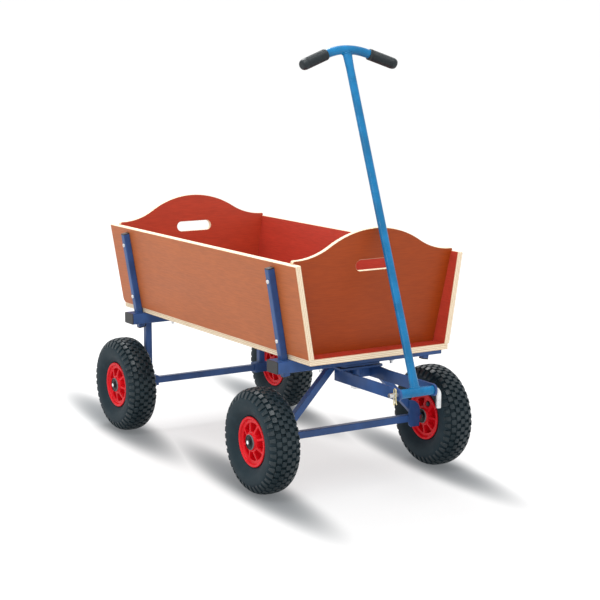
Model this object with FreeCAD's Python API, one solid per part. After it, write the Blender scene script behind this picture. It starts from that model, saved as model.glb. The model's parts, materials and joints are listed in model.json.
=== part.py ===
"""Garden wagon with a pull handle: a plywood box on a steel frame with four pneumatic wheels.

Frame: millimetres. +X points forward to the pull handle, +Y to the wagon's left, +Z up.
The origin is on the ground, under the middle of the overall length and width.
"""
import FreeCAD, Part
import math
import os

V = FreeCAD.Vector
os.makedirs("parts", exist_ok=True)

# ---------------------------------------------------------------- driving dimensions
wheel_base = 750.0            # between the two axles
track = 510.0                 # between the middles of the tyres
hitch_reach = 275.0           # drawbar hinge ahead of the front axle
hitch_below_floor = 73.0      # drawbar hinge below the floor's top

tyre_radius = 130.0           # 3.00-4 pneumatic tyre
tyre_half_width = 42.5
tyre_thickness = 8.0
tyre_squareness = 2.7         # 2 would be a round section
rim_radius = 62.0             # over the flanges
rim_half_width = 31.0
hub_half_width = 33.0
hub_radius = 19.0
bush_radius = 14.0            # spigot of the plastic hub bush
bush_flange = 3.0

axle_radius = 6.0
axle_height = tyre_radius
frame_tube = 18.0             # square tube: posts, legs, struts, axle tubes
frame_wall = 1.5
frame_corner = 2.0

floor_length = 989.0
floor_width = 402.0
floor_thickness = 15.0
floor_above_tyres = 84.0      # floor's top above the tops of the tyres
floor_ahead = 132.0           # floor's front edge ahead of the front axle
floor_rebate = 1.0            # shallow housing in the floor that the boards stand in

side_height = 226.0           # along the slope
side_thickness = 15.0
side_tilt = 9.5               # degrees from upright
side_overhang = 4.0           # outer bottom edge beyond the floor's edge
side_end_margin = 1.0         # side panel beyond each end of the floor
side_corner_cut = 10.0        # lower rear corner

end_thickness = 12.0
end_tilt = 5.0                # degrees from upright
end_shoulder = 233.0          # along the slope, at the side panels
end_peak = 298.0              # along the slope, at the middle
end_hump_half = 224.0         # where the hump runs out into the shoulder
front_inset = 47.0            # outer face behind the floor's front edge, at the floor
rear_inset = 52.0
groove_depth = 4.0            # routed in the side panels for the end panels
panel_round = 1.5             # softened plywood edges

slot_length = 108.0
slot_height = 27.0
slot_level = 209.0            # middle of the hand slot, along the slope

cross_width = 50.0            # cross-member tube, along X
cross_height = 30.0
cross_wall = 2.0
cross_corner = 3.0
cross_overhang = 39.0         # beyond the floor's edge at each side
cross_length = floor_width + 2 * cross_overhang
plug_lip = 2.5

king_plate_gap = 0.5          # kingpin sleeve ahead of the plate across the fork
king_radius = 8.0
king_sleeve_radius = 12.5
king_sleeve_length = 40.0
king_nut_height = 13.0
upper_plate = 4.0
lower_plate = 5.0
turn_disc = 1.7
turn_gap = 0.3

post_top_level = 211.0        # along the slope from the floor's top
post_below_cross = 9.0
cap_height = 3.0
cap_skirt = 10.0
screw_levels = (34.0, 181.5)  # along the slope from the floor's top
screw_radius = 2.5
screw_bite = 10.0
bolt_radius = 4.0
bolt_head = 3.5               # let into the floor
bolt_head_radius = 9.0
bolt_side = 105.0             # floor bolts either side of the middle

leg_side = 184.0              # rear axle legs either side of the middle
boss_length = 47.0
boss_width = 26.0
boss_height = 28.0
axle_tube_half = 205.0
spacer_radius = 8.5

fork_thickness = 5.0
fork_height = 29.0
fork_inner_half = 48.0
fork_shoulder = 46.0          # length of the taller rear part of an arm
fork_slope = 38.0             # length over which it comes down
strut_top_side = 58.0         # strut centre line under the lower plate
strut_foot_side = 200.0       # strut centre line at the axle tube
gusset_thickness = 5.0
gusset_width = 33.0
gusset_below = 21.0           # below the axle's centre line
gusset_above = 48.0

pin_radius = 6.0
pin_end = 76.0                # straight end, on the right
pin_bend = 13.0               # bend radius of the centre line
pin_leg = 46.0
clip_side = 62.0
clip_wire = 1.5               # wire radius
hinge_radius = 11.0           # drawbar hinge tube
handle_radius = 10.0
handle_wall = 1.5
handle_length = 843.0         # hinge axis to the middle of the handlebar
handle_lean = 20.8            # degrees back from upright when parked
handle_flat_width = 27.0      # pressed ends of the handle tube
handle_flat_depth = 14.0
handle_flat_length = 48.0
bar_radius = 11.0
bar_wall = 1.5
bar_droop = 20.5              # degrees that the straight ends of the handlebar slope down
bar_bend_half = 60.0          # half the width of the bent middle
bar_half = 130.0
grip_radius = 14.0
grip_start = 62.0
grip_end = 136.0

# ---------------------------------------------------------------- clearances
running = 0.08                # radial, on a shaft that turns
side_gap = 0.3                # between faces that turn past each other
hole_gap = 0.1                # radial, round a fixed bolt, screw or plug
panel_gap = 0.4               # end panel in its groove
housing_gap = 0.3             # boards in the floor's housing
seat_gap = 0.15               # tyre on its rim, grip on its bar

# ---------------------------------------------------------------- places along X
overall_length = tyre_radius + wheel_base + hitch_reach + fork_height / 2
x_rear = -overall_length / 2 + tyre_radius
x_front = x_rear + wheel_base
x_hitch = x_front + hitch_reach
x_king = x_front + frame_tube / 2 + fork_thickness + king_plate_gap + king_sleeve_radius
x_floor_front = x_front + floor_ahead
x_floor_rear = x_floor_front - floor_length

# ---------------------------------------------------------------- places along Z
floor_top = 2 * tyre_radius + floor_above_tyres
hitch_height = floor_top - hitch_below_floor
floor_bottom = floor_top - floor_thickness
cross_bottom = floor_bottom - cross_height
upper_plate_bottom = cross_bottom - upper_plate
lower_plate_top = upper_plate_bottom - turn_gap - turn_disc
lower_plate_bottom = lower_plate_top - lower_plate
fork_top = hitch_height + fork_height / 2
fork_bottom = hitch_height - fork_height / 2

tilt = math.radians(side_tilt)
slope_up = V(0, math.sin(tilt), math.cos(tilt))
slope_out = V(0, math.cos(tilt), -math.sin(tilt))
y_side_bottom = floor_width / 2 + side_overhang
y_inner_bottom = y_side_bottom - side_thickness / math.cos(tilt)
half_tube = frame_tube / 2
wheel_side = track / 2


# ---------------------------------------------------------------- helpers
def save(name, *solids):
    """Write one node, from one solid or from a group of separate ones."""
    shape = solids[0] if len(solids) == 1 else Part.makeCompound(list(solids))
    shape.exportStep("parts/" + name + ".step")


def block(x0, x1, y0, y1, z0, z1):
    return Part.makeBox(x1 - x0, y1 - y0, z1 - z0, V(x0, y0, z0))


def rod(start, end, radius):
    return Part.makeCylinder(radius, (end - start).Length, start, end - start)


def mirrored(shape):
    """The same piece on the right-hand side."""
    return shape.mirror(V(0, 0, 0), V(0, 1, 0))


def both_sides(shape):
    return [shape, mirrored(shape)]


def polygon(points):
    return Part.makePolygon(points + points[:1])


def prism(points, along):
    return Part.Face(polygon(points)).extrude(along)


def slope_point(level, out, x=0.0):
    """A point on the left side, at a level up the side panel's slope and a distance outside it."""
    return V(x, y_side_bottom, floor_top) + slope_up * level + slope_out * out


def round_edges(solid, radius, wanted):
    return solid.makeFillet(radius, [e for e in solid.Edges if wanted(e)])


def edge_is_along(edge, direction):
    if not isinstance(edge.Curve, Part.Line):
        return False
    return abs(edge.tangentAt(edge.FirstParameter).dot(direction)) > 0.999


def square_bar(length, size, corner):
    """A bar along +Z from the origin, with rounded corners."""
    bar = block(-size / 2, size / 2, -size / 2, size / 2, 0, length)
    return round_edges(bar, corner, lambda e: edge_is_along(e, V(0, 0, 1)))


def square_tube(length, size, wall, corner):
    return square_bar(length, size, corner).cut(square_bar(length, size - 2 * wall, corner - wall / 2))


def hexagon(across, height, centre):
    """A hexagonal prism that goes up from its centre point."""
    corner = across / 2 / math.cos(math.pi / 6)
    points = [centre + V(corner * math.cos(k * math.pi / 3), corner * math.sin(k * math.pi / 3), 0)
              for k in range(6)]
    return prism(points, V(0, 0, height))


def ring_section(points):
    """Turn a closed outline of (radius, width) points right round the Y axis."""
    return Part.Face(polygon([V(r, w, 0) for r, w in points])).revolve(V(0, 0, 0), V(0, 1, 0), 360)


def arc(a, b, c):
    return Part.Arc(a, b, c).toShape()


# ---------------------------------------------------------------- plywood box
def floor_panel():
    panel = block(x_floor_rear, x_floor_front, -floor_width / 2, floor_width / 2, floor_bottom, floor_top)
    panel = round_edges(panel, panel_round, lambda e: not edge_is_along(e, V(0, 1, 0)))
    y_wall = y_inner_bottom - housing_gap
    z0, z1 = floor_top - floor_rebate, floor_top + 1
    for housing in both_sides(block(x_floor_rear - 1, x_floor_front + 1, y_wall, floor_width, z0, z1)):
        panel = panel.cut(housing)
    slant = end_thickness / math.cos(math.radians(end_tilt))
    for outer, inward in ((x_floor_front - front_inset, -1), (x_floor_rear + rear_inset, 1)):
        near, far = outer - inward * housing_gap, outer + inward * (slant + housing_gap)
        panel = panel.cut(block(min(near, far), max(near, far), -y_wall, y_wall, z0, z1))
    for x in (x_rear, x_king):
        for y in (-bolt_side, bolt_side):
            panel = panel.cut(rod(V(x, y, floor_bottom), V(x, y, floor_top), bolt_radius + hole_gap))
            panel = panel.cut(rod(V(x, y, floor_top - bolt_head - hole_gap), V(x, y, floor_top + 1),
                                  bolt_head_radius + hole_gap))
    for screw in floor_screw_blanks(hole_gap):
        panel = panel.cut(screw)
    return panel


def end_blank(inset, facing, extra_side=0.0, extra_face=0.0, top=None):
    """The left and right edges, foot and top of an end panel; facing is +1 at the front.

    The grooves in the side panels are cut with the same blank, a clearance larger.
    """
    lean = math.radians(end_tilt)
    up = V(facing * math.sin(lean), 0, math.cos(lean))
    out = V(facing * math.cos(lean), 0, -math.sin(lean))
    x_edge = x_floor_front if facing > 0 else x_floor_rear
    foot = V(x_edge - facing * inset, 0, floor_top)
    groove = groove_depth / math.cos(tilt) - panel_gap + extra_side
    below = -20.0

    def edge(level):
        return y_inner_bottom + groove + level * math.cos(lean) * math.tan(tilt)

    def point(y, level):
        return foot + V(0, y, 0) + up * level + out * extra_face

    if top is None:
        wire = humped_outline(point, edge, below)
    else:
        wire = polygon([point(-edge(below), below), point(edge(below), below),
                        point(edge(top), top), point(-edge(top), top)])
    thickness = end_thickness + 2 * extra_face
    blank = Part.Face(wire).extrude(out * -thickness)
    reach = 2 * floor_length
    foot_level = floor_top - floor_rebate
    return blank.cut(block(-reach, reach, -reach, reach, foot_level - reach, foot_level)), point, out


def humped_outline(point, edge, below):
    """Foot, straight sides, level shoulders, and a hump of one arc between two hollow ones."""
    turn = 2 * math.atan2(end_peak - end_shoulder, end_hump_half)
    radii = end_hump_half / math.sin(turn)
    crown = 0.58 * radii
    hollow = radii - crown
    meet = (crown * math.sin(turn), end_peak - crown * (1 - math.cos(turn)))
    crown_side = (crown * math.sin(turn / 2), end_peak - crown * (1 - math.cos(turn / 2)))
    hollow_side = (end_hump_half - hollow * math.sin(turn / 2),
                   end_shoulder + hollow * (1 - math.cos(turn / 2)))
    corner = 6.0
    shoulder = edge(end_shoulder)
    soft = corner * (1 - math.sqrt(0.5))

    def place(pair, side):
        return point(side * pair[0], pair[1])

    edges = [Part.makeLine(point(-edge(below), below), point(edge(below), below))]
    edges += [Part.makeLine(point(edge(below), below), point(edge(end_shoulder - corner),
                                                             end_shoulder - corner))]
    left = [arc(point(edge(end_shoulder - corner), end_shoulder - corner),
                point(shoulder - soft, end_shoulder - soft), point(shoulder - corner, end_shoulder)),
            Part.makeLine(point(shoulder - corner, end_shoulder), point(end_hump_half, end_shoulder)),
            arc(point(end_hump_half, end_shoulder), place(hollow_side, 1), place(meet, 1)),
            arc(place(meet, 1), place(crown_side, 1), point(0, end_peak))]
    right = [arc(point(0, end_peak), place(crown_side, -1), place(meet, -1)),
             arc(place(meet, -1), place(hollow_side, -1), point(-end_hump_half, end_shoulder)),
             Part.makeLine(point(-end_hump_half, end_shoulder), point(corner - shoulder, end_shoulder)),
             arc(point(corner - shoulder, end_shoulder), point(soft - shoulder, end_shoulder - soft),
                 point(-edge(end_shoulder - corner), end_shoulder - corner))]
    close = Part.makeLine(point(-edge(end_shoulder - corner), end_shoulder - corner),
                          point(-edge(below), below))
    return Part.Wire(edges + left + right + [close])


def hand_slot(point, out):
    reach = (slot_length - slot_height) / 2
    radius = slot_height / 2
    low, high = slot_level - radius, slot_level + radius
    wire = Part.Wire([
        Part.makeLine(point(-reach, low), point(reach, low)),
        arc(point(reach, low), point(reach + radius, slot_level), point(reach, high)),
        Part.makeLine(point(reach, high), point(-reach, high)),
        arc(point(-reach, high), point(-reach - radius, slot_level), point(-reach, low))])
    cutter = Part.Face(wire).extrude(out * -(3 * end_thickness))
    return cutter.translated(out * end_thickness)


def end_panel(inset, facing):
    blank, point, out = end_blank(inset, facing)
    panel = blank.cut(hand_slot(point, out))
    faces = [f for f in panel.Faces if abs(f.normalAt(0, 0).dot(out)) > 0.999]
    rims = [e for f in faces for e in f.Edges if e.BoundBox.ZMax > floor_top + 1]
    return panel.makeFillet(panel_round, rims)


def side_panel():
    """The left side panel; the right one is its mirror image."""
    x0, x1 = x_floor_rear - side_end_margin, x_floor_front + side_end_margin
    length = x1 - x0
    down = floor_rebate
    foot_inner = V(x0, y_inner_bottom - down * math.tan(tilt), floor_top - down)
    foot_outer = V(x0, y_side_bottom - down * math.tan(tilt), floor_top - down)
    top_outer = slope_point(side_height, 0, x0)
    top_inner = slope_point(side_height, -side_thickness, x0)
    panel = prism([foot_inner, foot_outer, top_outer, top_inner], V(length, 0, 0))
    panel = round_edges(panel, panel_round, lambda e: e.BoundBox.ZMax > floor_top + 1)
    cut = side_corner_cut
    corner = [V(x0 - 1, 0, floor_top - 1), V(x0 + cut, 0, floor_top - 1), V(x0 - 1, 0, floor_top + cut)]
    panel = panel.cut(prism(corner, V(0, 2 * floor_width, 0)))
    for inset, facing in ((front_inset, 1), (rear_inset, -1)):
        groove = end_blank(inset, facing, panel_gap, panel_gap / 2, side_height + end_thickness)[0]
        panel = panel.cut(groove)
    for x in (x_rear, x_king):
        for screw in side_screw_blanks(x, hole_gap):
            panel = panel.cut(screw)
    for screw in floor_screw_blanks(hole_gap):
        panel = panel.cut(screw)
    return panel


# ---------------------------------------------------------------- posts and cross-members
post_foot_level = -(floor_top - cross_bottom + post_below_cross) / math.cos(tilt)
post_length = post_top_level - post_foot_level


def lay_on_slope(piece, level, x):
    """Stand a piece that was made along +Z on the outside of the left side panel."""
    turned = piece.copy()
    turned.rotate(V(0, 0, 0), V(1, 0, 0), -side_tilt)
    return turned.translated(slope_point(level, half_tube, x))


def post(x):
    tube = square_tube(post_length, frame_tube, frame_wall, frame_corner)
    piece = lay_on_slope(tube, post_foot_level, x)
    for screw in side_screw_blanks(x, hole_gap):
        piece = piece.cut(screw)
    return piece


def post_cap():
    """A push-in cap for a post, made above the XY plane with its skirt below it."""
    lip = square_bar(cap_height, frame_tube, frame_corner)
    lip = round_edges(lip, 1.2, lambda e: e.BoundBox.ZMin > cap_height - 0.01)
    inner = frame_tube - 2 * frame_wall - 2 * hole_gap
    return lip.fuse(square_bar(cap_skirt, inner, frame_corner).translated(V(0, 0, -cap_skirt))).removeSplitter()


def post_caps(x):
    top = lay_on_slope(post_cap(), post_top_level, x)
    foot_cap = post_cap()
    foot_cap.rotate(V(0, 0, 0), V(1, 0, 0), 180)
    return [top, lay_on_slope(foot_cap, post_foot_level, x)]


def side_screw_blanks(x, gap=0.0):
    """The shanks of one left post's screws, or the holes for them."""
    return [rod(slope_point(level, frame_tube + gap, x), slope_point(level, -screw_bite - gap, x),
                screw_radius + gap) for level in screw_levels]


def side_screws(x):
    screws = []
    for level, shank in zip(screw_levels, side_screw_blanks(x)):
        base = slope_point(level, frame_tube, x)
        head = Part.makeCylinder(5.5, 3.0, base, slope_out)
        head = head.makeFillet(2.2, [e for e in head.Edges if e.Length < 36 and
                                     (e.CenterOfMass - base).Length > 2.9])
        socket = Part.makeCylinder(1.8, 1.6, base + slope_out * 1.4, slope_out)
        screws.append(head.cut(socket).fuse(shank).removeSplitter())
    return screws


def floor_screw_blanks(gap=0.0):
    """Countersunk screws that come up through the floor into both side panels."""
    pieces = []
    y = floor_width / 2 - 6.0
    for x in (x_floor_rear + 150.0, (x_floor_rear + x_floor_front) / 2, x_floor_front - 175.0):
        shank = rod(V(x, y, floor_bottom), V(x, y + 3.0, floor_top + 24.0 + gap), 2.0 + gap)
        head = Part.makeCone(4.0 + gap, 2.0 + gap, 3.0, V(x, y, floor_bottom))
        foot = block(x - 9, x + 9, y - 9, y + 9, floor_bottom - 9, floor_bottom)
        pieces += both_sides(shank.fuse(head).cut(foot).removeSplitter())
    return pieces


def cross_bar(x, width, height, corner, length):
    bar = block(x - width / 2, x + width / 2, -length / 2, length / 2,
                floor_bottom - cross_height / 2 - height / 2, floor_bottom - cross_height / 2 + height / 2)
    return round_edges(bar, corner, lambda e: edge_is_along(e, V(0, 1, 0)))


def cross_member(x):
    tube = cross_bar(x, cross_width, cross_height, cross_corner, cross_length)
    inner = cross_bar(x, cross_width - 2 * cross_wall, cross_height - 2 * cross_wall,
                      cross_corner - cross_wall / 2, cross_length)
    tube = tube.cut(inner)
    for blank in both_sides(lay_on_slope(square_bar(post_length, frame_tube, frame_corner),
                                         post_foot_level, x)):
        tube = tube.cut(blank)
    for y in (-bolt_side, bolt_side):
        tube = tube.cut(rod(V(x, y, cross_bottom), V(x, y, floor_bottom), bolt_radius + hole_gap))
    return tube


def cross_plugs(x):
    """The two plastic plugs of a cross-member."""
    half = cross_length / 2
    lip = cross_bar(x, cross_width, cross_height, cross_corner, cross_length + 2 * plug_lip)
    lip = lip.common(block(x - cross_width, x + cross_width, half, half + plug_lip, 0, floor_top))
    lip = round_edges(lip, 1.0, lambda e: e.BoundBox.YMin > half + plug_lip - 0.01)
    inner_width = cross_width - 2 * cross_wall - 2 * hole_gap
    inner_height = cross_height - 2 * cross_wall - 2 * hole_gap
    skirt = cross_bar(x, inner_width, inner_height, cross_corner, cross_length)
    skirt = skirt.common(block(x - cross_width, x + cross_width, half - 8, half, 0, floor_top))
    return both_sides(lip.fuse(skirt).removeSplitter())


def floor_bolts(x):
    bolts = []
    for y in (-bolt_side, bolt_side):
        seat = floor_top - bolt_head - hole_gap
        shank = rod(V(x, y, cross_bottom - 13.0), V(x, y, seat), bolt_radius)
        head = Part.makeCylinder(bolt_head_radius, bolt_head, V(x, y, seat))
        head = round_edges(head, 3.0, lambda e: e.BoundBox.ZMin > seat + bolt_head - 0.01)
        bolts.append(shank.fuse(head).removeSplitter())
    return bolts


def floor_nuts(x):
    nuts = []
    for y in (-bolt_side, bolt_side):
        nut = hexagon(13.0, 6.5, V(x, y, cross_bottom - 6.5))
        hole = rod(V(x, y, cross_bottom - 7.5), V(x, y, cross_bottom + 1), bolt_radius + hole_gap)
        nuts.append(nut.cut(hole))
    return nuts


# ---------------------------------------------------------------- rear axle
def rear_leg():
    z0 = axle_height + boss_height / 2
    tube = square_tube(cross_bottom - z0, frame_tube, frame_wall, frame_corner)
    return tube.translated(V(x_rear, leg_side, z0))


def rear_boss():
    y0 = axle_tube_half - boss_length
    boss = block(x_rear - boss_width / 2, x_rear + boss_width / 2, y0, axle_tube_half,
                 axle_height - boss_height / 2, axle_height + boss_height / 2)
    boss = round_edges(boss, 2.5, lambda e: edge_is_along(e, V(0, 1, 0)))
    return boss.cut(rod(V(x_rear, 0, axle_height), V(x_rear, track, axle_height), axle_radius + hole_gap))


def axle_tube(x, half):
    tube = square_tube(2 * half, frame_tube, frame_wall, frame_corner)
    tube.rotate(V(0, 0, 0), V(1, 0, 0), -90)
    return tube.translated(V(x, -half, axle_height))


def axle_shaft(x):
    end = wheel_side + hub_half_width + bush_flange + 3.0
    shaft = rod(V(x, -end, axle_height), V(x, end, axle_height), axle_radius)
    return shaft.makeChamfer(0.8, [e for e in shaft.Edges if isinstance(e.Curve, Part.Circle)])


def axle_spacers(x):
    near = axle_tube_half
    far = wheel_side - hub_half_width - bush_flange - side_gap
    spacer = rod(V(x, near, axle_height), V(x, far, axle_height), spacer_radius)
    return both_sides(spacer.cut(rod(V(x, near, axle_height), V(x, far, axle_height),
                                     axle_radius + hole_gap)))


def axle_caps(x):
    """Push-on caps that keep the wheels on the shaft."""
    y0 = wheel_side + hub_half_width + bush_flange + side_gap
    cap = Part.makeCylinder(7.5, 4.2, V(x, y0, axle_height), V(0, 1, 0))
    cap = round_edges(cap, 2.5, lambda e: e.BoundBox.YMin > y0 + 4.1)
    shaft_end = wheel_side + hub_half_width + bush_flange + 3.0
    bore = rod(V(x, y0 - 1, axle_height), V(x, shaft_end, axle_height), axle_radius + hole_gap / 2)
    return both_sides(cap.cut(bore))


# ---------------------------------------------------------------- turntable and front axle
def upper_plate_piece():
    plate = block(x_king - cross_width / 2, x_king + cross_width / 2, -55, 55,
                  upper_plate_bottom, cross_bottom)
    plate = round_edges(plate, 6.0, lambda e: edge_is_along(e, V(0, 0, 1)))
    return plate.cut(king_hole(hole_gap))


def king_hole(gap):
    return rod(V(x_king, 0, 0), V(x_king, 0, floor_bottom - cross_wall), king_radius + gap)


def kingpin():
    """A bolt whose head is held inside the front cross-member."""
    z_head = cross_bottom + cross_wall
    end = lower_plate_bottom - king_sleeve_length - side_gap - king_nut_height - 2.0
    head = hexagon(24.0, 10.0, V(x_king, 0, z_head))
    shank = rod(V(x_king, 0, end), V(x_king, 0, z_head), king_radius)
    return head.fuse(shank).removeSplitter()


def king_nut():
    top = lower_plate_bottom - king_sleeve_length - side_gap
    flange = Part.makeCylinder(15.0, 2.5, V(x_king, 0, top - 2.5))
    nut = hexagon(24.0, king_nut_height, V(x_king, 0, top - king_nut_height))
    return nut.fuse(flange).removeSplitter().cut(king_hole(hole_gap))


def front_cross_member():
    return cross_member(x_king).cut(king_hole(hole_gap).common(
        block(x_king - 20, x_king + 20, -20, 20, 0, cross_bottom + cross_wall + 1)))


def lower_plate_piece():
    plate = block(x_front - half_tube, x_king + cross_width / 2 + 3.0, -62, 62,
                  lower_plate_bottom, lower_plate_top)
    plate = round_edges(plate, 6.0, lambda e: edge_is_along(e, V(0, 0, 1)))
    return plate.cut(king_hole(running))


def turn_disc_piece():
    disc = Part.makeCylinder(cross_width / 2 - 1, turn_disc, V(x_king, 0, lower_plate_top))
    return disc.cut(king_hole(0.5))


def king_sleeve():
    z0 = lower_plate_bottom - king_sleeve_length
    return Part.makeCylinder(king_sleeve_radius, king_sleeve_length,
                             V(x_king, 0, z0)).cut(king_hole(running))


def fork_arm():
    """The left arm: tall under the lower plate, then one height to its round front end."""
    y = fork_inner_half
    x0 = x_front + half_tube
    x1, x2 = x0 + fork_shoulder, x0 + fork_shoulder + fork_slope
    radius = fork_height / 2
    top = lower_plate_bottom
    wire = Part.Wire([
        Part.makeLine(V(x0, y, fork_bottom), V(x0, y, top)),
        Part.makeLine(V(x0, y, top), V(x1, y, top)),
        Part.makeLine(V(x1, y, top), V(x2, y, fork_top)),
        Part.makeLine(V(x2, y, fork_top), V(x_hitch, y, fork_top)),
        arc(V(x_hitch, y, fork_top), V(x_hitch + radius, y, hitch_height), V(x_hitch, y, fork_bottom)),
        Part.makeLine(V(x_hitch, y, fork_bottom), V(x0, y, fork_bottom))])
    arm = Part.Face(wire).extrude(V(0, fork_thickness, 0))
    return arm.cut(rod(V(x_hitch, 0, hitch_height), V(x_hitch, 2 * y, hitch_height),
                       pin_radius + running))


def fork_plate():
    x0 = x_front + half_tube
    return block(x0, x0 + fork_thickness, -fork_inner_half, fork_inner_half, fork_bottom,
                 lower_plate_bottom)


def strut():
    """The left strut, from the lower plate down to the axle tube."""
    foot = V(x_front, strut_foot_side, axle_height + half_tube)
    top = V(x_front, strut_top_side, lower_plate_bottom)
    line = top - foot
    extra = frame_tube
    length = line.Length + 2 * extra
    piece = square_tube(length, frame_tube, frame_wall, frame_corner)
    piece.rotate(V(0, 0, 0), V(1, 0, 0), math.degrees(math.atan2(-line.y, line.z)))
    piece = piece.translated(foot - line * (extra / line.Length))
    room = block(x_front - frame_tube, x_front + frame_tube, 0, axle_tube_half,
                 axle_height + half_tube, lower_plate_bottom)
    return piece.common(room)


def gusset():
    """The left plate across the front of the axle tube and the strut's foot."""
    x = x_front + half_tube
    z0, z1 = axle_height - gusset_below, axle_height + gusset_above
    y0, y1 = axle_tube_half - gusset_width, axle_tube_half
    corner = 6.0

    def at(y, z):
        return V(x, y, z)

    shoulder = at(y1, z1 - 28)
    wire = Part.Wire([
        Part.makeLine(at(y0, z0 + corner), at(y0, z1)),
        Part.makeLine(at(y0, z1), at(y1 - 21, z1)),
        arc(at(y1 - 21, z1), at(y1 - 6.5, z1 - 10), shoulder),
        Part.makeLine(shoulder, at(y1, axle_height)),
        Part.makeLine(at(y1, axle_height), at(y1 - 2, z0)),
        Part.makeLine(at(y1 - 2, z0), at(y0 + corner, z0)),
        Part.makeLine(at(y0 + corner, z0), at(y0, z0 + corner))])
    return Part.Face(wire).extrude(V(gusset_thickness, 0, 0))


# ---------------------------------------------------------------- wheels
def tyre():
    """A hollow tyre about the Y axis: beads on the rim, full square-shouldered walls and crown."""
    seat = rim_radius - 4.5 + seat_gap
    bead = rim_radius + seat_gap
    side, half = tyre_half_width, rim_half_width
    roof = tyre_radius - tyre_thickness

    def section(low, high, half_width, start):
        """Points over the crown from +start to -start, on a superellipse between two radii."""
        middle, reach = (low + high) / 2, (high - low) / 2
        count = 14
        points = []
        for k in range(-count, count + 1):
            angle = 0.78 * math.pi * k / count
            c, w = math.cos(angle), math.sin(angle)
            points.append(V(middle + reach * math.copysign(abs(c) ** (2 / tyre_squareness), c),
                            -half_width * math.copysign(abs(w) ** (2 / tyre_squareness), w), 0))
        points[0], points[-1] = V(start[0], start[1], 0), V(start[0], -start[1], 0)
        curve = Part.BSplineCurve()
        curve.interpolate(points)
        return curve.toShape()

    outside = section(bead - 8, tyre_radius, side, (bead, half))
    inside = section(seat + 2, roof, side - tyre_thickness + 1, (seat + 6.5, half - 9))

    def foot(sign):
        corners = [(seat + 6.5, half - 9), (seat, half - 12), (seat, half - 4 - seat_gap),
                   (bead, half - 3), (bead, half)]
        points = [V(r, sign * w, 0) for r, w in corners]
        return [Part.makeLine(points[i], points[i + 1]) for i in range(len(points) - 1)]

    edges = Part.__sortEdges__([outside, inside] + foot(1) + foot(-1))
    return Part.Face(Part.Wire(edges)).revolve(V(0, 0, 0), V(0, 1, 0), 360)


def rim():
    """A one-piece plastic rim about the Y axis: barrel, web, hub and eight ribs on each side."""
    r, h = rim_radius, rim_half_width
    half_barrel = [(r, h), (r, h - 3), (r - 4.5, h - 4), (r - 4.5, h - 13), (r - 11, h - 19)]
    half_inner = [(r - 15, h - 17.5), (r - 8.5, h - 11.5), (r - 8.5, h - 3.5), (r - 4, h)]
    outline = half_barrel + [(a, -b) for a, b in reversed(half_barrel)]
    outline += [(a, -b) for a, b in reversed(half_inner)] + half_inner
    barrel = ring_section(outline)
    web = ring_section([(hub_radius - 2, 2.5), (r - 13, 2.5), (r - 13, -2.5), (hub_radius - 2, -2.5)])
    hub = ring_section([(bush_radius, hub_half_width), (hub_radius, hub_half_width),
                        (hub_radius, -hub_half_width), (bush_radius, -hub_half_width)])
    rib_outline = [(hub_radius - 2, 0), (r - 14, 0), (r - 14, h - 17.5), (r - 7.5, h - 11.5),
                   (r - 7.5, h - 4.5), (hub_radius + 6, h - 2), (hub_radius - 2, h - 2)]
    pieces = [web, hub]
    for k in range(8):
        for sign in (1, -1):
            rib = prism([V(a, sign * b, -2.0) for a, b in rib_outline], V(0, 0, 4.0))
            rib.rotate(V(0, 0, 0), V(0, 1, 0), 45.0 * k + 22.5)
            pieces.append(rib)
    body = barrel.multiFuse(pieces).removeSplitter()
    valve = rod(V(33, -6, 0), V(33, 6, 0), 5.5)
    valve.rotate(V(0, 0, 0), V(0, 1, 0), -90.0)
    return body.cut(valve)


def hub_bush():
    """The outboard bush; the inboard one is its mirror image in the wheel's middle plane."""
    y0 = hub_half_width
    flange = Part.makeCylinder(hub_radius, bush_flange, V(0, y0, 0), V(0, 1, 0))
    flange = round_edges(flange, 1.5, lambda e: e.BoundBox.YMin > y0 + bush_flange - 0.01)
    spigot = Part.makeCylinder(bush_radius - hole_gap / 2, 20.0, V(0, y0 - 20.0, 0), V(0, 1, 0))
    bore = rod(V(0, 0, 0), V(0, 2 * y0, 0), axle_radius + running)
    return flange.fuse(spigot).removeSplitter().cut(bore)


def save_wheel(name, x, side, tyre_blank, rim_blank, bush_blank):
    """side is +1 for a left wheel; a right one is mirrored, so its outboard face stays outboard."""
    def placed(piece):
        moved = piece.translated(V(x, wheel_side, axle_height))
        return moved if side > 0 else mirrored(moved)

    save("tyre_" + name, placed(tyre_blank))
    save("rim_" + name, placed(rim_blank))
    save("hub_bushes_" + name, placed(bush_blank), placed(mirrored(bush_blank)))


# ---------------------------------------------------------------- drawbar
lean = math.radians(handle_lean)
handle_up = V(-math.sin(lean), 0, math.cos(lean))
handle_front = V(math.cos(lean), 0, math.sin(lean))
hinge = V(x_hitch, 0, hitch_height)
bar_middle = hinge + handle_up * handle_length
droop = math.radians(bar_droop)
bend_radius = bar_bend_half / math.sin(droop)


def bar_point(y):
    """The handlebar's centre line: an arc in the middle that runs on into two straight ends."""
    if abs(y) <= bar_bend_half:
        down = bend_radius - math.sqrt(bend_radius ** 2 - y ** 2)
    else:
        down = bend_radius * (1 - math.cos(droop)) + (abs(y) - bar_bend_half) * math.tan(droop)
    return bar_middle - handle_up * down + V(0, y, 0)


def hinge_tube():
    half = fork_inner_half - side_gap
    tube = rod(hinge - V(0, half, 0), hinge + V(0, half, 0), hinge_radius)
    return tube.cut(rod(hinge - V(0, half, 0), hinge + V(0, half, 0), pin_radius + running))


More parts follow.
